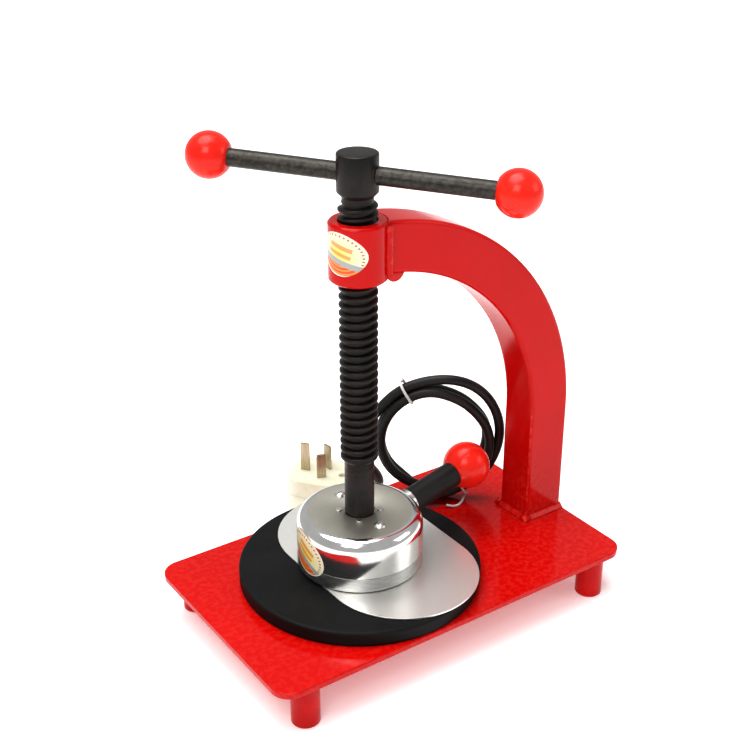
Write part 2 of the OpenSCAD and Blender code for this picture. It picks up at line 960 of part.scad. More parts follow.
module handle_knob() {
  ball_r = handle_knob_d / 2;
  seat_z = sqrt(pow(ball_r, 2) - pow(knob_seat_r, 2));
  color("#e01a10")
    on_handle(washer_step + handle_length + seat_z)
      ball_knob(handle_knob_d, knob_seat_r, stud_d / 2, ball_r - seat_z + stud_in_knob);
}

// Tapered rubber sleeve of the mains lead, gripped in the cover wall
module strain_relief() {
  color("#161616")
    union() {
      difference() {
        on_relief(-3)
          cylinder(r1 = relief_root_r, r2 = relief_tip_r, h = relief_len + 3);
        cover_block();
      }
      on_relief(-relief_inside)
        cylinder(r = relief_neck_r, h = relief_inside + 3, $fn = 48);
    }
}

module head_label() {
  color("#e8d98a")
    at_axis(platen_top + head_label_z)
      rotate([0, 0, head_label_angle])
        wrapped_label(head_r, head_label_turn);
}

// ---------- mains lead ----------

module cord_from_head() {
  color("#141414")
    tube(guided(head_route, 4), cord_r, 10);
}

module cord_to_plug() {
  color("#141414")
    tube(guided(plug_route, 4), cord_r, 10);
}

// Children in the plane of the coil: X along the coil, Z up, Y across the coil
module at_coil() {
  translate([coil_x, coil_y, coil_z])
    rotate([0, 0, coil_yaw])
      children();
}

module cord_coil() {
  color("#141414")
    at_coil()
      rotate([90, 0, 0])
        rotate_extrude()
          translate([coil_mid_r, -coil_back])
            round_rect(coil_band, 2 * coil_half, coil_edge);
}

// Outline of the coil's section grown by t on every side
module tie_outline(t) {
  round_rect(coil_band + 2 * t, 2 * (coil_half + t), coil_edge);
}

module coil_ties() {
  color("#e9e6dc")
    for (a = tie_angles)
      at_coil()
        rotate([0, -a, 0])
          translate([coil_mid_r, coil_back, -tie_w / 2])
            linear_extrude(height = tie_w)
              difference() {
                tie_outline(tie_slack + tie_t);
                tie_outline(tie_slack);
              }
}

// ---------- plug ----------

module at_plug(z) {
  translate([plug_x, plug_y, plug_floor + z])
    rotate([0, 0, plug_yaw])
      children();
}

module plug_shell(h) {
  linear_extrude(height = h)
    translate([plug_shift, 0])
      round_rect(plug_len, plug_w, plug_corner_r);
}

module plug_back() {
  color("#ece8d2")
    at_plug(0)
      plug_shell(plug_back_h - 0.1);
}

module plug_face() {
  color("#efebd6")
    difference() {
      at_plug(plug_back_h)
        plug_shell(plug_face_h);
      plug_blades(-pin_buried);
      at_plug(plug_back_h + plug_face_h - plug_screw_depth)
        translate([plug_screw_at, 0, 0])
          cylinder(r = plug_screw_r, h = plug_screw_depth + 1);
    }
}

// One flat blade standing on the face, at an angle round the pin circle
module blade(a, ring_r, turn, length, from) {
  at_plug(plug_back_h + plug_face_h)
    rotate([0, 0, a])
      translate([ring_r, 0, from])
        rotate([0, 0, turn])
          translate([-pin_w / 2, -pin_t / 2, 0])
            cube([pin_w, pin_t, length - from]);
}

module plug_blades(from) {
  blade(180, pin_ring_earth, 0, pin_earth_len, from);
  for (s = [-1, 1])
    blade(s * 60, pin_ring_live, 90, pin_live_len, from);
}

module plug_pins() {
  color("#b59a62")
    plug_blades(-pin_buried);
}

module plug_screw() {
  color("#b9b6ac")
    at_plug(plug_back_h + plug_face_h - plug_screw_depth)
      translate([plug_screw_at, 0, 0])
        difference() {
          cylinder(r = plug_screw_r, h = plug_screw_h);
          translate([-plug_screw_r, -slot_w / 2, plug_screw_h - slot_depth])
            cube([2 * plug_screw_r, slot_w, 2]);
        }
}

base_plate();
feet();
frame_arm();
threaded_boss();
column_weld();
boss_weld();
rubber_pad();
boss_label();
press_sheet();
thrust_washer();
lead_screw();
cross_bar();
bar_knobs();
head_cover();
platen();
lower_mica();
heating_element();
upper_mica();
pressure_plate();
thrust_seat();
swivel_retainer();
retainer_rivets();
cover_screws();
cover_spacers();
thermostat();
terminal_block();
terminal_screws();
live_wire();
neutral_wire();
earth_wire();
thermostat_wire();
earth_screw();
handle_stud();
handle_nut();
handle_washer();
handle_sleeve();
handle_knob();
strain_relief();
head_label();
cord_from_head();
cord_coil();
cord_to_plug();
coil_ties();
plug_back();
plug_face();
plug_pins();
plug_screw();
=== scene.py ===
import math

import bpy
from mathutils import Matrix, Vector


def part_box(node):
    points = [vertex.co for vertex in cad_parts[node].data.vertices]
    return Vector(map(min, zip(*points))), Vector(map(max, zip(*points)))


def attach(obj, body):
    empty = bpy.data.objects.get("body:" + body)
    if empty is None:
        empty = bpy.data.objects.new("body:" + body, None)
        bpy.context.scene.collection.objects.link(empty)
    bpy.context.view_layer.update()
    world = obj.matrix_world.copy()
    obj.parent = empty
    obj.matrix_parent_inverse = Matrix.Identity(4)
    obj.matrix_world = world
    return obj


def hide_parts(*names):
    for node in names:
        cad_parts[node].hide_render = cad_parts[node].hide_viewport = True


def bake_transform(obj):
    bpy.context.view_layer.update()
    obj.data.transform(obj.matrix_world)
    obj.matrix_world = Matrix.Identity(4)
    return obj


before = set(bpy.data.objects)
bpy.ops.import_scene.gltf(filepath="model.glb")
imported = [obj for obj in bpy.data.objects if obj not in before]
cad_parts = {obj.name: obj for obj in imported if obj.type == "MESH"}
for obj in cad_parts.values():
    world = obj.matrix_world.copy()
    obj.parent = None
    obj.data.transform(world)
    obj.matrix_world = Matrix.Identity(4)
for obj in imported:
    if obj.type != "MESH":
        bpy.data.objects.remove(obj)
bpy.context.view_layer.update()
scene = bpy.context.scene
MM = 0.001

SCREW_X = -26.0             # the screw's axis
SCREW_TOP = 293.5
SHANK_R = 8.75
THREAD_R = 11.0
BAR_HEIGHT = 282.0          # where the cross bar goes through the screw's head
HEAD_R = 38.0
LEAD_D = 6.4
SWING_LENGTH = 28.0         # the first stretch of the lead, cut off as a piece of its own
COIL_X, COIL_Y, COIL_Z = SCREW_X + 88, 42.5, 75.9
COIL_R = 38.7               # to the middle of the lead
COIL_YAW = math.radians(-33)
HEAD_JOIN, PLUG_JOIN = 320, 140     # degrees round the coil where the lead's two ends meet it


# ---------- camera ----------

def set_camera():
    lens = bpy.data.cameras.new("studio_camera")
    lens.lens = 61.04
    lens.sensor_width = 36
    camera = bpy.data.objects.new("studio_camera", lens)
    camera.location = (-0.3881, -0.53624, 0.47944)
    camera.rotation_euler = (math.radians(64.01), 0, math.radians(-34.84))
    scene.collection.objects.link(camera)
    scene.camera = camera


# ---------- shapes ----------

def link_mesh(name, points, faces, material, smooth=True):
    """A new piece from points in millimetres."""
    mesh = bpy.data.meshes.new(name)
    mesh.from_pydata([Vector(p) * MM for p in points], [], faces)
    mesh.update()
    mesh.polygons.foreach_set("use_smooth", [smooth] * len(mesh.polygons))
    mesh.materials.append(material)
    piece = bpy.data.objects.new(name, mesh)
    scene.collection.objects.link(piece)
    return piece


def add_sharp(piece, angle):
    """Keeps turned corners crisp under smooth shading."""
    piece.data.set_sharp_from_angle(angle=math.radians(angle))


def frame_along(direction):
    """Two unit vectors across a direction."""
    up = Vector((0, 0, 1)) if abs(direction.z) < 0.9 else Vector((1, 0, 0))
    side = direction.cross(up).normalized()
    return side, side.cross(direction).normalized()


def turned(name, outline, material, centre, axis=(0, 0, 1), sides=64, sharp=35):
    """A turned piece: (radius, height) pairs swept round an axis through centre."""
    centre, axis = Vector(centre), Vector(axis).normalized()
    side, up = frame_along(axis)
    points, faces, rings = [], [], []
    for radius, height in outline:
        if radius < 1e-6:
            rings.append([len(points)])
            points.append(centre + axis * height)
            continue
        ring = []
        for k in range(sides):
            a = 2 * math.pi * k / sides
            ring.append(len(points))
            points.append(centre + axis * height
                          + (side * math.cos(a) - up * math.sin(a)) * radius)
        rings.append(ring)
    for low, high in zip(rings, rings[1:]):
        for k in range(sides):
            n = (k + 1) % sides
            if len(low) == 1:
                faces.append((low[0], high[n], high[k]))
            elif len(high) == 1:
                faces.append((low[k], low[n], high[0]))
            else:
                faces.append((low[k], low[n], high[n], high[k]))
    piece = link_mesh(name, points, faces, material)
    if sharp:
        add_sharp(piece, sharp)
    return piece


def curve_points(guides, step):
    """The smooth curve that a list of guide points steers, as evenly spaced points."""
    guides = [Vector(p) for p in guides]
    guides = [guides[0] * 2 - guides[1]] + guides + [guides[-1] * 2 - guides[-2]]
    fine = []
    for a, b, c, d in zip(guides, guides[1:], guides[2:], guides[3:]):
        for k in range(16):
            t = k / 16
            fine.append(a * ((1 - t) ** 3 / 6) + b * ((3 * t ** 3 - 6 * t * t + 4) / 6)
                        + c * ((-3 * t ** 3 + 3 * t * t + 3 * t + 1) / 6) + d * (t ** 3 / 6))
    fine.append((guides[-3] + guides[-2] * 4 + guides[-1]) / 6)
    return even(fine, step)


def line_length(points):
    return sum((b - a).length for a, b in zip(points, points[1:]))


def even(points, step):
    """The same line with points about one step apart."""
    count = max(2, round(line_length(points) / step))
    gap = line_length(points) / count
    out, carried = [points[0].copy()], 0.0
    for a, b in zip(points, points[1:]):
        length = (b - a).length
        while length > 0 and carried + length >= gap * len(out) and len(out) < count:
            out.append(a.lerp(b, (gap * len(out) - carried) / length))
        carried += length
    out.append(points[-1].copy())
    return out


def tube(name, path, radius, material, sides):
    """A round tube that follows a path in millimetres."""
    points, faces = [], []
    path = [Vector(p) for p in path]
    ahead = (path[1] - path[0]).normalized()
    side, up = frame_along(ahead)
    for i, p in enumerate(path):
        before, after = path[max(i - 1, 0)], path[min(i + 1, len(path) - 1)]
        ahead = (after - before).normalized()
        side = (side - ahead * side.dot(ahead)).normalized()
        up = ahead.cross(side)
        for k in range(sides):
            a = 2 * math.pi * k / sides
            points.append(p + (side * math.cos(a) + up * math.sin(a)) * radius)
    for i in range(len(path) - 1):
        for k in range(sides):
            n = (k + 1) % sides
            a, b = i * sides, (i + 1) * sides
            faces.append((a + k, a + n, b + n, b + k))
    faces.append(tuple(reversed(range(sides))))
    faces.append(tuple(range(len(points) - sides, len(points))))
    return link_mesh(name, points, faces, material)


# ---------- shader groups ----------

def new_group(name, inputs, outputs):
    tree = bpy.data.node_groups.new(name, "ShaderNodeTree")
    for label, kind, value in inputs:
        socket = tree.interface.new_socket(name=label, in_out="INPUT", socket_type=kind)
        socket.default_value = value
    for label, kind in outputs:
        tree.interface.new_socket(name=label, in_out="OUTPUT", socket_type=kind)
    return tree, tree.nodes.new("NodeGroupInput"), tree.nodes.new("NodeGroupOutput")


def node(tree, kind, links=None, **settings):
    """A node with its settings, fed by the sockets named in links."""
    made = tree.nodes.new(kind)
    for key, value in settings.items():
        setattr(made, key, value)
    for key, value in (links or {}).items():
        socket = made.inputs[key]
        if isinstance(value, bpy.types.NodeSocket):
            tree.links.new(value, socket)
        else:
            socket.default_value = value
    return made


def maths(tree, operation, a, b=0.0, clamp=False):
    made = tree.nodes.new("ShaderNodeMath")
    made.operation, made.use_clamp = operation, clamp
    for socket, value in zip(made.inputs, (a, b)):
        if isinstance(value, bpy.types.NodeSocket):
            tree.links.new(value, socket)
        else:
            socket.default_value = value
    return made.outputs[0]


def band(tree, value, low, high):
    """0 below low, 1 above high, smooth between."""
    made = node(tree, "ShaderNodeMapRange", {"Value": value, "From Min": low, "From Max": high},
                interpolation_type="SMOOTHSTEP")
    return made.outputs["Result"]


def between(tree, value, low, high):
    """Low to high as a noise goes from 0.3 to 0.7, where most of it lies."""
    made = node(tree, "ShaderNodeMapRange", {"Value": value, "From Min": 0.3, "From Max": 0.7,
                                             "To Min": low, "To Max": high})
    return made.outputs["Result"]


def within(tree, value, middle, reach):
    """1 within reach of middle, 0 elsewhere."""
    return node(tree, "ShaderNodeMath", {0: value, 1: middle, 2: reach},
                operation="COMPARE").outputs[0]


def mix_colour(tree, mask, a, b):
    made = tree.nodes.new("ShaderNodeMix")
    made.data_type = "RGBA"
    for socket, value in ((made.inputs[0], mask), (made.inputs[6], a), (made.inputs[7], b)):
        if isinstance(value, bpy.types.NodeSocket):
            tree.links.new(value, socket)
        else:
            socket.default_value = value
    return made.outputs[2]


def make_mottle():
    """Slow and fine variation, for paint, oxide and rubber."""
    tree, take, give = new_group("mottle", [
        ("Scale", "NodeSocketFloat", 60.0), ("Fine Scale", "NodeSocketFloat", 900.0)],
        [("Patches", "NodeSocketFloat"), ("Grain", "NodeSocketFloat")])
    place = node(tree, "ShaderNodeTexCoord").outputs["Object"]
    slow = node(tree, "ShaderNodeTexNoise", {"Vector": place, "Scale": take.outputs["Scale"],
                                             "Detail": 5.0, "Roughness": 0.55})
    fine = node(tree, "ShaderNodeTexNoise", {"Vector": place,
                                             "Scale": take.outputs["Fine Scale"],
                                             "Detail": 3.0, "Roughness": 0.6})
    tree.links.new(slow.outputs["Fac"], give.inputs["Patches"])
    tree.links.new(fine.outputs["Fac"], give.inputs["Grain"])
    return tree


def make_edge_wear():
    """A mask that is high on worn outer edges."""
    tree, take, give = new_group("edge wear", [
        ("Low", "NodeSocketFloat", 0.52), ("High", "NodeSocketFloat", 0.62),
        ("Breakup Scale", "NodeSocketFloat", 300.0)], [("Worn", "NodeSocketFloat")])
    point = node(tree, "ShaderNodeNewGeometry").outputs["Pointiness"]
    place = node(tree, "ShaderNodeTexCoord").outputs["Object"]
    broken = node(tree, "ShaderNodeTexNoise", {"Vector": place, "Detail": 4.0,
                                               "Scale": take.outputs["Breakup Scale"]})
    edge = node(tree, "ShaderNodeMapRange", {
        "Value": point, "From Min": take.outputs["Low"], "From Max": take.outputs["High"]})
    worn = maths(tree, "MULTIPLY", edge.outputs["Result"],
                 band(tree, broken.outputs["Fac"], 0.42, 0.62), clamp=True)
    tree.links.new(worn, give.inputs["Worn"])
    return tree


def make_brushed():
    """Fine lines along one way, for rolled and turned metal."""
    tree, take, give = new_group("brushed lines", [
        ("Along", "NodeSocketVector", (1.0, 1.0, 1.0)),
        ("Scale", "NodeSocketFloat", 40.0)], [("Lines", "NodeSocketFloat")])
    place = node(tree, "ShaderNodeTexCoord").outputs["Object"]
    stretched = node(tree, "ShaderNodeVectorMath",
                     {0: place, 1: take.outputs["Along"]}, operation="MULTIPLY")
    lines = node(tree, "ShaderNodeTexNoise", {"Vector": stretched.outputs[0], "Detail": 6.0,
                                              "Scale": take.outputs["Scale"], "Roughness": 0.7})
    tree.links.new(lines.outputs["Fac"], give.inputs["Lines"])
    return tree


def make_sticker():
    """The oval sticker's print, from its place round an upright drum."""
    tree, take, give = new_group("sticker print", [
        ("Drum X", "NodeSocketFloat", 0.0), ("Drum Radius", "NodeSocketFloat", 0.0165),
        ("Middle Height", "NodeSocketFloat", 0.24), ("Middle Angle", "NodeSocketFloat", 3.0),
        ("Turn", "NodeSocketFloat", 0.0)],
        [("Colour", "NodeSocketColor")])
    place = node(tree, "ShaderNodeSeparateXYZ",
                 {0: node(tree, "ShaderNodeTexCoord").outputs["Object"]})
    east = maths(tree, "SUBTRACT", place.outputs[0], take.outputs["Drum X"])
    # the drum is turned so that the sticker's middle faces east before the angle is read
    cosine = maths(tree, "COSINE", take.outputs["Middle Angle"])
    sine = maths(tree, "SINE", take.outputs["Middle Angle"])
    ahead = maths(tree, "ADD", maths(tree, "MULTIPLY", east, cosine),
                  maths(tree, "MULTIPLY", place.outputs[1], sine))
    left = maths(tree, "SUBTRACT", maths(tree, "MULTIPLY", place.outputs[1], cosine),
                 maths(tree, "MULTIPLY", east, sine))
    round_it = maths(tree, "MULTIPLY", maths(tree, "ARCTAN2", left, ahead),
                     take.outputs["Drum Radius"])
    above = maths(tree, "SUBTRACT", place.outputs[2], take.outputs["Middle Height"])
    # u and v run from the middle to 1 at the oval's rim, with the print's own turn taken out
    half_wide, half_high = 0.017, 0.012
    turn_cos = maths(tree, "COSINE", take.outputs["Turn"])
    turn_sin = maths(tree, "SINE", take.outputs["Turn"])
    u = maths(tree, "DIVIDE", maths(tree, "ADD", maths(tree, "MULTIPLY", round_it, turn_cos),
                                    maths(tree, "MULTIPLY", above, turn_sin)), half_wide)
    v = maths(tree, "DIVIDE", maths(tree, "SUBTRACT", maths(tree, "MULTIPLY", above, turn_cos),
                                    maths(tree, "MULTIPLY", round_it, turn_sin)), half_high)
    away = maths(tree, "SQRT", maths(tree, "ADD", maths(tree, "MULTIPLY", u, u),
                                     maths(tree, "MULTIPLY", v, v)))
    glow = band(tree, away, 0.0, 0.85)
    field = mix_colour(tree, glow, (0.93, 0.72, 0.10, 1), (0.95, 0.90, 0.62, 1))
    # a ring of small dots just inside the rim
    dot_count = 34.0
    round_rim = maths(tree, "MULTIPLY", maths(tree, "ARCTAN2", v, u), dot_count)
    dot = maths(tree, "GREATER_THAN", maths(tree, "SINE", round_rim), 0.2)
    ring = maths(tree, "MULTIPLY", maths(tree, "GREATER_THAN", away, 0.80),
                 maths(tree, "LESS_THAN", away, 0.89))
    dots = maths(tree, "MULTIPLY", dot, ring)
    field = mix_colour(tree, dots, field, (0.55, 0.20, 0.10, 1))
    # two plain bars of ink in the middle field
    upper_bar, lower_bar = within(tree, v, 0.36, 0.10), within(tree, v, 0.02, 0.08)
    bars = maths(tree, "MULTIPLY", maths(tree, "ADD", upper_bar, lower_bar, clamp=True),
                 maths(tree, "LESS_THAN", maths(tree, "ABSOLUTE", u), 0.42))
    field = mix_colour(tree, maths(tree, "MULTIPLY", bars, 0.75), field, (0.80, 0.25, 0.05, 1))
    # a grey band, and waves below it
    silver = maths(tree, "MULTIPLY", maths(tree, "LESS_THAN", v, -0.20),
                   maths(tree, "GREATER_THAN", v, -0.46))
    field = mix_colour(tree, silver, field, (0.42, 0.43, 0.42, 1))
    low = maths(tree, "LESS_THAN", v, -0.46)
    wave = band(tree, maths(tree, "SINE", maths(tree, "MULTIPLY", away, 38.0)), 0.0, 0.6)
    orange = mix_colour(tree, wave, (0.85, 0.08, 0.01, 1), (0.95, 0.35, 0.03, 1))
    field = mix_colour(tree, low, field, orange)
    field = mix_colour(tree, maths(tree, "GREATER_THAN", away, 0.93), field, (0.92, 0.88, 0.74, 1))
    tree.links.new(field, give.inputs["Colour"])
    return tree


MOTTLE = make_mottle()
EDGE_WEAR = make_edge_wear()
BRUSHED = make_brushed()
STICKER = make_sticker()


# ---------- materials ----------

def group(tree, made, **values):
    placed = tree.nodes.new("ShaderNodeGroup")
    placed.node_tree = made
    for key, value in values.items():
        placed.inputs[key.replace("_", " ")].default_value = value
    return placed


def start(name, **sockets):
    """A material with its Principled shader's own sockets set."""
    material = bpy.data.materials.new(name)
    material.use_nodes = True
    tree = material.node_tree
    shader = tree.nodes["Principled BSDF"]
    for key, value in sockets.items():
        shader.inputs[key.replace("_", " ")].default_value = value
    return material, tree, shader


def bump(tree, shader, height, strength, distance, under=None):
    made = node(tree, "ShaderNodeBump", {"Height": height, "Strength": strength,
                                         "Distance": distance})
    if under is not None:
        tree.links.new(under, made.inputs["Normal"])
    tree.links.new(made.outputs["Normal"], shader.inputs["Normal"])
    return made


def mottled(name, dark, light, rough, relief, scale=60.0, fine=900.0, worn=None, soften=0.0,
            wear=(0.52, 0.62), **sockets):
    """Colour and gloss that drift over the surface, fine relief, and wear along edges."""
    material, tree, shader = start(name, **sockets)
    spots = group(tree, MOTTLE, Scale=scale, Fine_Scale=fine)
    patches = band(tree, spots.outputs["Patches"], 0.35, 0.65)
    colour = mix_colour(tree, patches, dark, light)
    roughness = between(tree, spots.outputs["Patches"], *rough)
    if worn:
        edges = group(tree, EDGE_WEAR, Low=wear[0], High=wear[1])
        colour = mix_colour(tree, edges.outputs["Worn"], colour, worn)
    tree.links.new(colour, shader.inputs["Base Color"])
    tree.links.new(roughness, shader.inputs["Roughness"])
    under = None
    if soften:
        under = node(tree, "ShaderNodeBevel", {"Radius": soften}, samples=6).outputs["Normal"]
    bump(tree, shader, spots.outputs["Grain"], relief, 0.0004, under)
    return material


def make_paint():
    """Thick glossy red enamel, with a slow orange-peel ripple."""
    material, tree, shader = start("red_enamel", Roughness=0.16, Coat_Roughness=0.05,
                                   Specular_IOR_Level=0.2, Coat_Weight=0.06)
    spots = group(tree, MOTTLE, Scale=22.0, Fine_Scale=260.0)
    patches = band(tree, spots.outputs["Patches"], 0.3, 0.7)
    colour = mix_colour(tree, patches, (0.575, 0.0020, 0.0016, 1), (0.615, 0.0026, 0.0020, 1))
    edges = group(tree, EDGE_WEAR, Low=0.56, High=0.70)
    colour = mix_colour(tree, edges.outputs["Worn"], colour, (0.72, 0.05, 0.03, 1))
    tree.links.new(colour, shader.inputs["Base Color"])
    tree.links.new(between(tree, spots.outputs["Grain"], 0.12, 0.19), shader.inputs["Roughness"])
    soft = node(tree, "ShaderNodeBevel", {"Radius": 0.0012}, samples=8).outputs["Normal"]
    bump(tree, shader, spots.outputs["Grain"], 0.10, 0.0003, soft)
    return material


def make_metal(name, dark, light, rough, along, scale, relief=0.12, soften=0.0003, **sockets):
    """Bare metal with fine working lines."""
    material, tree, shader = start(name, Metallic=1.0, **sockets)
    lines = group(tree, BRUSHED, Along=along, Scale=scale)
    spots = group(tree, MOTTLE, Scale=35.0, Fine_Scale=700.0)
    colour = mix_colour(tree, band(tree, lines.outputs["Lines"], 0.3, 0.7), dark, light)
    stain = maths(tree, "MULTIPLY", band(tree, spots.outputs["Patches"], 0.5, 0.8), 0.35)
    colour = mix_colour(tree, stain, colour, dark)
    tree.links.new(colour, shader.inputs["Base Color"])
    tree.links.new(between(tree, lines.outputs["Lines"], *rough), shader.inputs["Roughness"])
    soft = node(tree, "ShaderNodeBevel", {"Radius": soften}, samples=6).outputs["Normal"]
    bump(tree, shader, lines.outputs["Lines"], relief, 0.0002, soft)
    return material


def make_cover():
    """Bright plated side, and a flat top ground to a grey satin."""
    material, tree, shader = start("plated_cover", Metallic=1.0)
    place = node(tree, "ShaderNodeSeparateXYZ",
                 {0: node(tree, "ShaderNodeTexCoord").outputs["Object"]})
    east = maths(tree, "SUBTRACT", place.outputs[0], SCREW_X * MM)
    out = maths(tree, "SQRT", maths(tree, "ADD", maths(tree, "MULTIPLY", east, east),
                                    maths(tree, "MULTIPLY", place.outputs[1], place.outputs[1])))
    top = maths(tree, "MULTIPLY", maths(tree, "SUBTRACT", 1.0, band(tree, out, 0.0313, 0.0316)),
                band(tree, place.outputs[2], 0.0741, 0.0744))
    lines = group(tree, BRUSHED, Along=(1.0, 9.0, 1.0), Scale=520.0)
    spots = group(tree, MOTTLE, Scale=45.0, Fine_Scale=420.0)
    plated = mix_colour(tree, band(tree, spots.outputs["Patches"], 0.35, 0.75),
                        (0.78, 0.78, 0.77, 1), (0.60, 0.60, 0.60, 1))
    ground = mix_colour(tree, band(tree, lines.outputs["Lines"], 0.3, 0.7),
                        (0.47, 0.455, 0.40, 1), (0.52, 0.505, 0.445, 1))
    tree.links.new(mix_colour(tree, top, plated, ground), shader.inputs["Base Color"])
    rough = maths(tree, "ADD", maths(tree, "MULTIPLY", top, 0.34),
                  maths(tree, "MULTIPLY", spots.outputs["Patches"], 0.24))
    tree.links.new(rough, shader.inputs["Roughness"])
    bump(tree, shader, spots.outputs["Patches"], 0.10, 0.0006)
    return material


def make_label(name, radius, height, angle, turn):
    """A glossy oval sticker on a drum of this radius; the angles are in degrees."""
    material, tree, shader = start(name, Roughness=0.28, Coat_Weight=0.5, Coat_Roughness=0.1)
    oval = group(tree, STICKER, Drum_X=SCREW_X * MM, Drum_Radius=radius, Middle_Height=height,
                 Middle_Angle=math.radians(angle), Turn=math.radians(turn))
    tree.links.new(oval.outputs["Colour"], shader.inputs["Base Color"])
    spots = group(tree, MOTTLE, Scale=120.0, Fine_Scale=900.0)
    bump(tree, shader, spots.outputs["Patches"], 0.08, 0.0003)
    return material


RED_PAINT = make_paint()
BLACKENED = mottled("blackened_steel", (0.006, 0.005, 0.0045, 1), (0.020, 0.014, 0.010, 1), (0.30, 0.48),
                    0.25, scale=70, fine=1300, worn=(0.16, 0.12, 0.085, 1), soften=0.0004,
                    wear=(0.56, 0.72), Specular_IOR_Level=0.4, Metallic=0.25)
BAR_STEEL = mottled("hammered_black_bar", (0.030, 0.028, 0.025, 1), (0.062, 0.056, 0.048, 1), (0.28, 0.44),
                    0.5, scale=420, fine=900, worn=(0.2, 0.17, 0.13, 1), wear=(0.6, 0.8), Metallic=0.7)
RUBBER = mottled("black_rubber", (0.0035, 0.0035, 0.0035, 1), (0.008, 0.008, 0.008, 1), (0.5, 0.66), 0.35,
                 scale=40, fine=1500, soften=0.0006, Specular_IOR_Level=0.2)
FOOT_PAINT = mottled("red_foot_enamel", (0.50, 0.0015, 0.0018, 1), (0.60, 0.0025, 0.0025, 1),
                     (0.2, 0.3), 0.15, scale=60, fine=400, soften=0.0006, Specular_IOR_Level=0.2)
RED_BALL = mottled("red_phenolic", (0.80, 0.020, 0.010, 1), (0.88, 0.030, 0.014, 1), (0.20, 0.30), 0.05,
                   scale=50, fine=350, Coat_Weight=0.12, Coat_Roughness=0.1, Specular_IOR_Level=0.25)
SLEEVE = mottled("black_handle_rubber", (0.006, 0.006, 0.006, 1), (0.014, 0.013, 0.013, 1), (0.42, 0.6),
                 0.3, scale=90, fine=1100, soften=0.0005, Specular_IOR_Level=0.3)
LEAD = mottled("lead_sheath", (0.006, 0.006, 0.006, 1), (0.016, 0.015, 0.014, 1), (0.34, 0.52), 0.25,
               scale=75, fine=1400, Specular_IOR_Level=0.35)
SHEET = make_metal("satin_aluminium", (0.90, 0.89, 0.85, 1), (0.95, 0.94, 0.90, 1), (0.34, 0.42),
                   (1.0, 10.0, 1.0), 420.0, relief=0.05)
ZINC = make_metal("zinc_plate", (0.50, 0.50, 0.48, 1), (0.72, 0.71, 0.68, 1), (0.2, 0.34), (1, 1, 6), 110.0)
PLATEN = make_metal("turned_platen", (0.34, 0.34, 0.34, 1), (0.52, 0.52, 0.51, 1), (0.25, 0.42),
                    (1, 1, 12), 130.0)
PINS = make_metal("pin_brass", (0.40, 0.33, 0.22, 1), (0.56, 0.48, 0.35, 1), (0.26, 0.4), (12, 12, 1), 80.0)
BRASS = make_metal("bare_brass", (0.58, 0.40, 0.14, 1), (0.72, 0.52, 0.22, 1), (0.22, 0.36), (1, 1, 8), 120.0)
CREAM = mottled("cream_plug", (0.74, 0.72, 0.55, 1), (0.82, 0.80, 0.66, 1), (0.26, 0.36), 0.12, scale=50,
                fine=800, soften=0.0008, Subsurface_Weight=0.06)
MICA = mottled("mica", (0.42, 0.36, 0.27, 1), (0.62, 0.56, 0.44, 1), (0.2, 0.36), 0.3, scale=160, fine=900)
WRAP = mottled("element_wrap", (0.33, 0.31, 0.28, 1), (0.5, 0.48, 0.44, 1), (0.5, 0.66), 0.4, scale=150)
CERAMIC = mottled("steatite", (0.74, 0.71, 0.64, 1), (0.84, 0.82, 0.76, 1), (0.3, 0.45), 0.15, scale=90)
BROWN = mottled("brown_wire", (0.13, 0.045, 0.018, 1), (0.19, 0.07, 0.03, 1), (0.3, 0.42), 0.1, scale=90)
BLUE = mottled("blue_wire", (0.012, 0.05, 0.30, 1), (0.02, 0.08, 0.42, 1), (0.3, 0.42), 0.1, scale=90)
EARTH = mottled("earth_wire", (0.10, 0.28, 0.02, 1), (0.62, 0.52, 0.03, 1), (0.3, 0.42), 0.1, scale=220)
BLACK_MOULD = mottled("black_moulding", (0.010, 0.010, 0.010, 1), (0.020, 0.020, 0.020, 1), (0.3, 0.45), 0.2,
                      scale=80, fine=900, soften=0.0005)
TIE = mottled("white_tie", (0.74, 0.74, 0.72, 1), (0.84, 0.84, 0.82, 1), (0.3, 0.42), 0.1, scale=120)
COVER = make_cover()
BOSS_LABEL = make_label("boss_sticker", 0.0167, 0.2415, -162, -15)
HEAD_LABEL = make_label("head_sticker", 0.0382, 0.0581, 178, -25)

FINISHES = {
    RED_PAINT: ("base_plate", "frame_arm", "threaded_boss", "column_weld", "boss_weld"),
    FOOT_PAINT: ("feet",),
    BLACKENED: ("thrust_washer", "thrust_seat"),
    BAR_STEEL: ("cross_bar",),
    SLEEVE: ("handle_sleeve",),
    SHEET: ("press_sheet",),
    ZINC: ("swivel_retainer", "retainer_rivets", "cover_screws", "cover_spacers", "pressure_plate",
           "terminal_screws", "earth_screw", "handle_stud", "handle_nut", "handle_washer", "plug_screw"),
    PLATEN: ("platen",),
    MICA: ("lower_mica", "upper_mica"),
    WRAP: ("heating_element",),
    CERAMIC: ("terminal_block",),
    BRASS: ("thermostat",),
    BROWN: ("live_wire", "thermostat_wire"),
    BLUE: ("neutral_wire",),
    EARTH: ("earth_wire",),
    BLACK_MOULD: ("strain_relief",),
    BOSS_LABEL: ("boss_label",),
    HEAD_LABEL: ("head_label",),
    CREAM: ("plug_back", "plug_face"),
    PINS: ("plug_pins",),
}


def finish_nodes():
    for material, names in FINISHES.items():
        for name in names:
            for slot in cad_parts[name].material_slots:
                slot.link = "OBJECT"
                slot.material = material


# ---------- the lead ----------

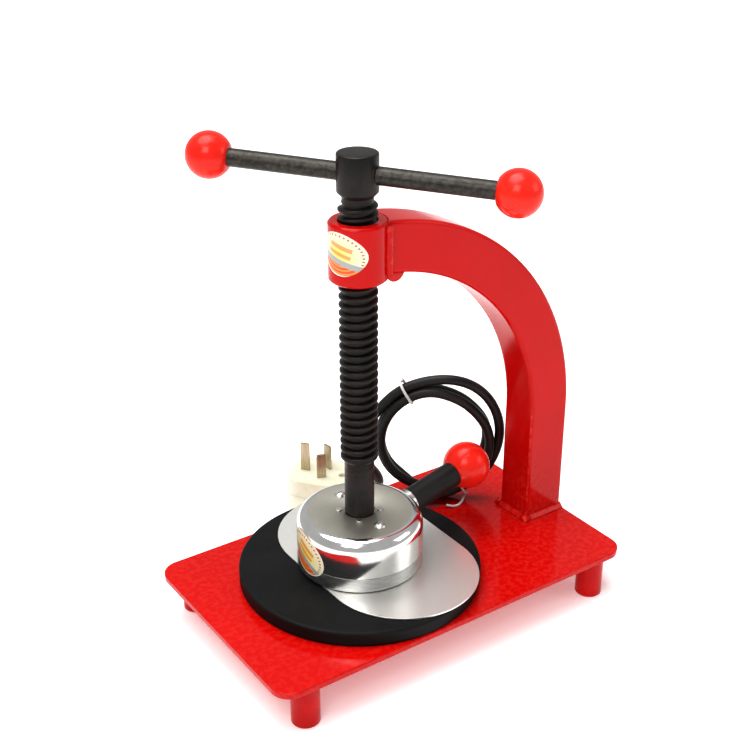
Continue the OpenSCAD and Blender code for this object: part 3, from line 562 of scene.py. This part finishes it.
def around_coil(angle, radius, forward=0.0):
    """A point on the standing coil: angle in degrees, radius, and distance towards its front."""
    a = math.radians(angle)
    return Vector((COIL_X + radius * math.cos(a) * math.cos(COIL_YAW) + forward * math.sin(COIL_YAW),
                   COIL_Y + radius * math.cos(a) * math.sin(COIL_YAW) - forward * math.cos(COIL_YAW),
                   COIL_Z + radius * math.sin(a)))


def coil_heading(angle):
    """The way that the coil runs at an angle."""
    a = math.radians(angle)
    return Vector((-math.sin(a) * math.cos(COIL_YAW), -math.sin(a) * math.sin(COIL_YAW), math.cos(a)))


def ease(value, low, high):
    """0 below low, 1 above high, smooth between."""
    t = min(max((value - low) / (high - low), 0.0), 1.0)
    return t * t * (3 - 2 * t)


def head_guides():
    """The lead's way from its relief at the head to the coil."""
    angle, drop = math.radians(28), math.radians(20)
    exit_height, relief_length = 56.8, 24.3
    out = Vector((math.cos(angle) * math.cos(drop), math.sin(angle) * math.cos(drop), -math.sin(drop)))
    root = Vector((SCREW_X + HEAD_R * math.cos(angle), HEAD_R * math.sin(angle), exit_height))
    tip = root + out * relief_length
    join, heading = around_coil(HEAD_JOIN, COIL_R, 1), coil_heading(HEAD_JOIN)
    return [tip, tip + out * 3, tip + out * 8,
            (SCREW_X + 69, 35, 42), (SCREW_X + 78, 37, 38), (SCREW_X + 89, 36, 36), (SCREW_X + 101, 32, 39),
            join - heading * 8, join - heading * 3, join]


def plug_guides():
    """The lead's way from the plug's mouth up to the coil."""
    yaw = math.radians(-52)
    out = Vector((math.cos(yaw), math.sin(yaw), 0))
    plug_middle, plug_reach = Vector((22.8, 122.6, 13.7)), 22.5
    mouth = plug_middle + out * plug_reach
    outer_r = COIL_R + 3
    join, heading = around_coil(PLUG_JOIN, outer_r, -1.5), coil_heading(PLUG_JOIN)
    return [mouth, mouth + out * 3, mouth + out * 8,
            (SCREW_X + 75, 89, 17.5), (SCREW_X + 76, 84.5, 28), (SCREW_X + 68, 83, 39),
            (SCREW_X + 58, 81, 52), (SCREW_X + 52, 76, 67), (SCREW_X + 51, 70, 84),
            join + heading * 8, join + heading * 3, join]


def moved(place, old, new, amount):
    """A place in the bundle, taken some of the way from an old seat to a new one."""
    return [p + (b - a) * amount for p, a, b in zip(place, old, new)]


def coil_turns():
    """Two and a half turns, the later ones behind and outside the first."""
    # each seat in the bundle is a distance out from the coil's middle line, and one towards its front
    at_head, first, behind, outside, at_plug = (0.0, 1.0), (-3.3, 1.0), (-3.3, -5.3), (4.4, -3.3), (3.0, -1.5)
    end, step = PLUG_JOIN + 3 * 360, 6
    points = []
    for t in range(HEAD_JOIN, end + 1, step):
        place = moved(at_head, at_head, first, ease(t, 320, 385))
        place = moved(place, first, behind, ease(t, 635, 678))
        place = moved(place, behind, outside, ease(t, 950, 995))
        place = moved(place, outside, at_plug, ease(t, 1040, 1120))
        # between the ties the last turn bows out, and the other two are drawn in
        bow = ease(t, 1055, 1130) * (1 - ease(t, 1130, 1185)) * 3.6
        pinch = ease(t, 365, 405) * (1 - ease(t, 425, 465)) * -2.6
        pinch_again = ease(t, 725, 765) * (1 - ease(t, 785, 825)) * -2.6
        points.append(around_coil(t, COIL_R + place[0] + bow + pinch + pinch_again, place[1]))
    return points


def cut(points, length):
    """The first stretch of a line, of this length, and the rest."""
    gone = 0.0
    for i, (a, b) in enumerate(zip(points, points[1:])):
        step = (b - a).length
        if gone + step >= length:
            at = a.lerp(b, (length - gone) / step)
            return points[:i + 1] + [at], [at] + points[i + 1:]
        gone += step
    return points, []


def make_lead():
    """The lead in three pieces: two stretches from the head, and the coil, which stays put on the frame."""
    head_line = curve_points(head_guides(), 1.5)
    near, far = cut(head_line, SWING_LENGTH)
    near, far = even(near, 1.5), even(far, 1.5)
    tail = list(reversed(curve_points(plug_guides(), 6.0)))
    turns = coil_turns()

    first = tube("lead_at_head", near, LEAD_D / 2, LEAD, sides=20)
    second = tube("lead_to_coil", far, LEAD_D / 2, LEAD, sides=20)
    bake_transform(first)
    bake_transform(second)

    line = turns[:-1] + tail
    curve = bpy.data.curves.new("lead_coil", "CURVE")
    curve.dimensions = "3D"
    curve.bevel_depth = LEAD_D / 2 * MM
    curve.bevel_resolution = 5
    curve.resolution_u = 3
    curve.use_fill_caps = True
    spline = curve.splines.new("POLY")
    dense = even(smooth_line(line), 2.0)
    spline.points.add(len(dense) - 1)
    for point, p in zip(spline.points, dense):
        point.co = (*(p * MM), 1)
    spline.use_smooth = True
    curve.materials.append(LEAD)
    coil = bpy.data.objects.new("lead_coil", curve)
    scene.collection.objects.link(coil)
    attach(coil, "frame")

    ties = [make_tie("coil_tie_upper", 118, tail=False),
            make_tie("coil_tie_lower", 298, tail=True)]
    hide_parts("cord_coil", "cord_to_plug")
    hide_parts("cord_from_head")
    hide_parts("coil_ties")


def smooth_line(points, rounds=3):
    """The same line with its corners eased; the two ends stay."""
    points = even(points, 3.0)
    for _ in range(rounds):
        eased = [(a + b * 2 + c) / 4 for a, b, c in zip(points[1:], points[2:], points[3:])]
        points = [points[0], points[1]] + eased + [points[-1]]
    return points


def make_tie(name, angle, tail):
    """A thin wire tie drawn round the strands, with a loose end if it has a tail."""
    wire_r, half_wide, half_deep, climb = 0.9, 8.0, 7.3, 1.2
    across = (around_coil(angle, 40) - around_coil(angle, 38)).normalized()
    depth = (around_coil(angle, 38, 2) - around_coil(angle, 38)).normalized()
    middle = around_coil(angle, 38.9, -2.0)
    along = across.cross(depth)
    loop = []
    for k in range(49):
        a = 2 * math.pi * k / 48
        c, s = math.cos(a), math.sin(a)
        flat = (abs(c) ** 3 + abs(s) ** 3) ** (-1 / 3)
        loop.append(middle + across * (c * flat * half_wide) + depth * (s * flat * half_deep)
                    + along * (k / 48 - 0.5) * climb)
    if tail:
        knot = loop[-1]
        loose = [knot, knot + depth * 2,
                 knot + depth * 6 + along * 2 + across,
                 knot + depth * 11 + along * 5 + across * 1.5,
                 knot + depth * 14 + along * 9 - across,
                 knot + depth * 13 + along * 13 - across * 4]
        loop = loop + curve_points(loose, 1.0)[1:]
    piece = tube(name, loop, wire_r, TIE, sides=10)
    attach(piece, "frame")
    return piece


# ---------- the screw ----------

def make_thread():
    """A real helix, as one skin whose two ends lie inside the shank and the head."""
    pitch, low, high = 5.0, 112.1, 267.5
    crest, flank, core_r, neck_r = 1.5, 0.85, 8.4, 8.7
    middle_r = (core_r + THREAD_R) / 2
    root = pitch - crest - 2 * flank
    steps = [(0.0, core_r), (root * 0.5, core_r - 0.12), (root, core_r), (root + flank * 0.5, middle_r),
             (root + flank, THREAD_R - 0.15), (root + flank + 0.25, THREAD_R),
             (root + flank + crest - 0.25, THREAD_R), (root + flank + crest, THREAD_R - 0.15),
             (pitch - flank * 0.5, middle_r)]
    sides = 72
    turns = int((high - low) / pitch) + 2
    rows = [(turn * pitch + z, r) for turn in range(-1, turns) for z, r in steps]
    points, faces = [], []
    for z, r in rows:
        for k in range(sides):
            height = low + z + pitch * k / sides
            radius = r
            if height < low:
                height, radius = low, min(radius, THREAD_R)
            if height > high:
                height = high
            # the last turn runs out into the neck, and the first starts from the chamfer
            fade = ease(height, high - 3.0, high)
            radius = radius + (neck_r - radius) * fade
            radius = max(radius, core_r)
            start_fade = 1 - ease(height, low, low + 2.0)
            radius = radius + (THREAD_R - radius) * start_fade
            a = 2 * math.pi * k / sides
            points.append(Vector((SCREW_X + radius * math.cos(a), radius * math.sin(a), height)))
    for row in range(len(rows) - 1):
        for k in range(sides):
            n = (k + 1) % sides
            up = row + 1
            if n:
                quad = (row * sides + k, row * sides + n, up * sides + n, up * sides + k)
            else:
                # the last column meets the first one a whole turn further up
                shift = len(steps)
                if row + shift + 1 >= len(rows):
                    continue
                quad = (row * sides + k, (row + shift) * sides, (up + shift) * sides, up * sides + k)
            heights = [points[i].z for i in quad]
            if max(heights) - min(heights) < 1e-6:
                continue
            faces.append(quad)
    used = sorted({i for f in faces for i in f})
    where = {old: new for new, old in enumerate(used)}
    thread = link_mesh("screw_thread", [points[i] for i in used],
                       [tuple(where[i] for i in f) for f in faces], BLACKENED)
    add_sharp(thread, 50)
    return thread


def make_screw():
    """Thread, turned shank and head, and the mouths of the cross hole."""
    thread = make_thread()
    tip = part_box("lead_screw")[0][2] / MM
    shank = turned("screw_shank", [
        (0, tip), (7.9, tip), (SHANK_R, tip + 0.9), (SHANK_R, 98), (8.68, 98.3), (SHANK_R, 98.6),
        (SHANK_R, 101), (8.68, 101.3), (SHANK_R, 101.6), (SHANK_R, 104.4), (8.66, 104.7),
        (SHANK_R, 105), (SHANK_R, 109.2), (8.9, 109.5), (10.8, 111.7), (THREAD_R, 112.1),
        (10.6, 112.2), (8.0, 112.4), (0, 112.4)],
        BLACKENED, (SCREW_X, 0, 0), sides=72)
    head = turned("screw_head", [
        (0, 266.9), (8.4, 266.9), (8.7, 267.1), (8.7, 269.4), (9.0, 269.75), (11.3, 272.1), (11.5, 272.6),
        (11.5, 292.2), (11.35, 292.9), (10.8, 293.4), (10.2, SCREW_TOP), (0, SCREW_TOP)],
        BLACKENED, (SCREW_X, 0, 0), sides=72)
    for piece in (thread, shank, head):
        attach(piece, "screw")
        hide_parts("lead_screw")
    # a shallow dark collar at each mouth of the cross hole
    middle, way = Vector((SCREW_X, 0, BAR_HEIGHT)), bar_way()
    for k, sign in enumerate((-1, 1)):
        collar = turned("cross_hole_mouth_%d" % (k + 1), [
            (5.15, 10.2), (5.95, 10.2), (6.6, 10.35), (6.9, 10.0), (6.9, 9.0), (5.15, 9.0), (5.15, 10.2)],
            BLACKENED, middle, axis=way * sign, sides=40)
        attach(collar, "screw")
        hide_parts("lead_screw")


def bar_way():
    """The way that the cross bar points."""
    turn, drop = math.radians(-48.5), math.radians(3)
    return Vector((math.cos(turn) * math.cos(drop), math.sin(turn) * math.cos(drop), -math.sin(drop)))


# ---------- balls, cover, pad ----------

def ball(name, centre, radius, axis, seat, body, replaced):
    """A moulded ball with a flat seat at its socket and a faint moulding line."""
    centre, axis = Vector(centre), Vector(axis).normalized()
    low = -math.sqrt(radius * radius - seat * seat)
    outline = [(0, low), (seat - 0.5, low), (seat, low + 0.25)]
    lowest = math.atan2(low + 0.4, math.sqrt(radius ** 2 - (low + 0.4) ** 2))
    for k in range(40):
        a = lowest + (math.pi / 2 - lowest) * k / 40
        swell = radius * (1 + 0.0016 * math.exp(-(a / 0.022) ** 2))
        outline.append((swell * math.cos(a), swell * math.sin(a)))
    outline.append((0, radius))
    piece = turned(name, outline, RED_BALL, centre, axis, sides=72, sharp=40)
    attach(piece, body)
    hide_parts(replaced)


def make_balls():
    way, bar_slid, half_bar = bar_way(), 1.4, 84
    middle = Vector((SCREW_X, 0, BAR_HEIGHT)) + way * bar_slid
    ball("bar_ball_near", middle - way * half_bar, 13, -way, 6.5, "bar", "bar_knobs")
    ball("bar_ball_far", middle + way * half_bar, 13, way, 6.5, "bar", "bar_knobs")
    angle, rise = math.radians(7), math.radians(8)
    out = Vector((math.cos(angle) * math.cos(rise), math.sin(angle) * math.cos(rise), math.sin(rise)))
    root_height, handle_reach = 63.1, 53.27
    root = Vector((SCREW_X + HEAD_R * math.cos(angle), HEAD_R * math.sin(angle), root_height))
    ball("handle_ball", root + out * handle_reach, 15, out, 7, "head", "handle_knob")


def make_cover_piece():
    """Drawn cover: straight side, oval shoulder, flat top with the screw's hole."""
    shoulder = [(31.5 + 6.5 * math.cos(a), 66.1 + 8.5 * math.sin(a))
                for a in (math.pi / 2 * k / 20 for k in range(21))]
    inside = [(30.5 + 6.5 * math.cos(a), 65.1 + 8.5 * math.sin(a))
              for a in (math.pi / 2 * k / 20 for k in range(20, -1, -1))]
    outline = ([(37, 50.6), (37.7, 50.6), (38, 50.9)] + shoulder + [(9.6, 74.6), (9.3, 74.4), (9.3, 73.6)]
               + inside + [(37, 50.6)])
    cover = turned("plated_cover", outline, COVER, (SCREW_X, 0, 0), sides=144, sharp=40)
    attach(cover, "head")
    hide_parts("head_cover")


def make_pad():
    """Moulded rubber disc: rounded rims and a slightly dished flank."""
    outline = [(0, 30.05), (71.6, 30.05), (72.7, 30.2), (73.3, 30.8), (73.4, 31.6), (73.25, 33.2),
               (73.2, 34.8), (73.25, 36.4), (73.4, 38.0), (73.2, 38.9), (72.5, 39.4), (71.4, 39.5),
               (60, 39.47), (45, 39.45), (0, 39.45)]
    pad = turned("rubber_disc", outline, RUBBER, (SCREW_X, 0, 0), sides=128, sharp=0)
    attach(pad, "frame")
    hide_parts("rubber_pad")


# ---------- studio ----------

def make_studio():
    """A pale floor and air, three soft lamps, and one broad light from above."""
    floor, tree, shader = start("studio_floor", Roughness=0.9, Specular_IOR_Level=0.1,
                                Emission_Color=(1, 1, 1, 1), Emission_Strength=0.28)
    spots = group(tree, MOTTLE, Scale=3.0, Fine_Scale=300.0)
    pale = mix_colour(tree, spots.outputs["Patches"], (0.93, 0.93, 0.93, 1), (0.955, 0.955, 0.955, 1))
    tree.links.new(pale, shader.inputs["Base Color"])
    half = 3000
    corners = [(-half, -half, 0), (half, -half, 0), (half, half, 0), (-half, half, 0)]
    plane = link_mesh("studio_floor", corners, [(0, 1, 2, 3)], floor, smooth=False)
    world = bpy.data.worlds.new("studio_air")
    scene.world = world
    world.use_nodes = True
    tree = world.node_tree
    air = tree.nodes["Background"]
    air.inputs["Color"].default_value = (1, 1, 1, 1)
    ray = node(tree, "ShaderNodeLightPath")
    seen = maths(tree, "MULTIPLY", ray.outputs["Is Camera Ray"], 0.75)
    mirrored = maths(tree, "MULTIPLY", ray.outputs["Is Glossy Ray"], 0.35)
    tree.links.new(maths(tree, "ADD", maths(tree, "ADD", seen, mirrored), 0.25), air.inputs["Strength"])
    for name, place, aim, width, height, power in (
            ("key_light", (-0.9, -0.7, 1.2), (0, 0, 0.12), 0.7, 0.7, 9),
            ("fill_light", (1.1, -0.9, 0.8), (0, 0, 0.12), 0.8, 0.6, 3.5),
            ("top_light", (0.1, 0.2, 1.5), (0, 0, 0.1), 0.9, 0.9, 5)):
        lamp = bpy.data.lights.new(name, "AREA")
        lamp.shape, lamp.size, lamp.size_y, lamp.energy = "RECTANGLE", width, height, power
        light = bpy.data.objects.new(name, lamp)
        light.location = place
        light.rotation_euler = (Vector(aim) - Vector(place)).to_track_quat("-Z", "Y").to_euler()
        scene.collection.objects.link(light)
    sun = bpy.data.lights.new("overhead_light", "SUN")
    sun.energy, sun.angle = 2.5, math.radians(50)
    light = bpy.data.objects.new("overhead_light", sun)
    light.rotation_euler = (math.radians(-8), math.radians(-10), 0)
    scene.collection.objects.link(light)
    scene.view_settings.view_transform = "Standard"
    scene.view_settings.gamma = 0.84


set_camera()
make_lead()
finish_nodes()
make_screw()
make_balls()
make_cover_piece()
make_pad()
make_studio()
